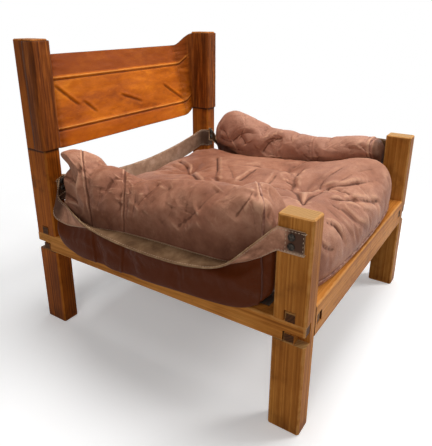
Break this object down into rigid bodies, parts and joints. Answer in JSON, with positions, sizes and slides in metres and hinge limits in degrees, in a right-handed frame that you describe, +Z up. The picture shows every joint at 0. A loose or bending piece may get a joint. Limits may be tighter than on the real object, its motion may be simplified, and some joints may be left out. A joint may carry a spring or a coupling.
{
  "type": "lounge chair",
  "caption": "Low lounge chair with a jointed square-post wooden frame, a leather sling back, leather straps and loose leather seat and arm cushions.",
  "frame": {"origin": "middle of the chair's footprint box, on the floor", "axes": "+X to the sitter's left, -Y to the front, where the sitter's knees are, +Z up"},
  "size_m": [0.894, 0.82, 0.774],
  "materials": {
    "front_wood": "golden tan hardwood, oiled, worn at the edges",
    "back_wood": "darker brown hardwood, oiled",
    "sling_leather": "smooth cognac saddle leather with scuffs",
    "strap_leather": "olive brown strap leather, stitched along both edges",
    "cushion_leather": "soft reddish brown leather, strongly creased",
    "webbing": "woven upholstery webbing",
    "dark_metal": "dark blackened screws and tacks"
  },
  "bodies": {
    "root": {"post_front_right": "front_wood", "post_back_right": "back_wood", "side_rail_right": "front_wood", "post_front_left": "front_wood", "post_back_left": "back_wood", "side_rail_left": "front_wood", "front_rail": "front_wood", "back_rail": "back_wood", "seat_web_1": "webbing", "seat_web_2": "webbing", "seat_web_3": "webbing", "seat_web_4": "webbing", "seat_web_5": "webbing", "back_sling": "sling_leather", "arm_strap_right": "strap_leather", "arm_strap_left": "strap_leather", "back_strap": "strap_leather", "seat_cushion": "cushion_leather", "arm_cushion_right": "cushion_leather", "arm_cushion_left": "cushion_leather", "screw_front_right_1": "dark_metal", "screw_front_right_2": "dark_metal", "screw_front_left_1": "dark_metal", "screw_front_left_2": "dark_metal", "screw_back_right_1": "dark_metal", "screw_back_right_2": "dark_metal", "screw_back_left_1": "dark_metal", "screw_back_left_2": "dark_metal", "web_tack_right_1": "dark_metal", "web_tack_right_2": "dark_metal", "web_tack_right_3": "dark_metal", "web_tack_right_4": "dark_metal", "web_tack_right_5": "dark_metal", "web_tack_left_1": "dark_metal", "web_tack_left_2": "dark_metal", "web_tack_left_3": "dark_metal", "web_tack_left_4": "dark_metal", "web_tack_left_5": "dark_metal"}
  },
  "joints": []
}
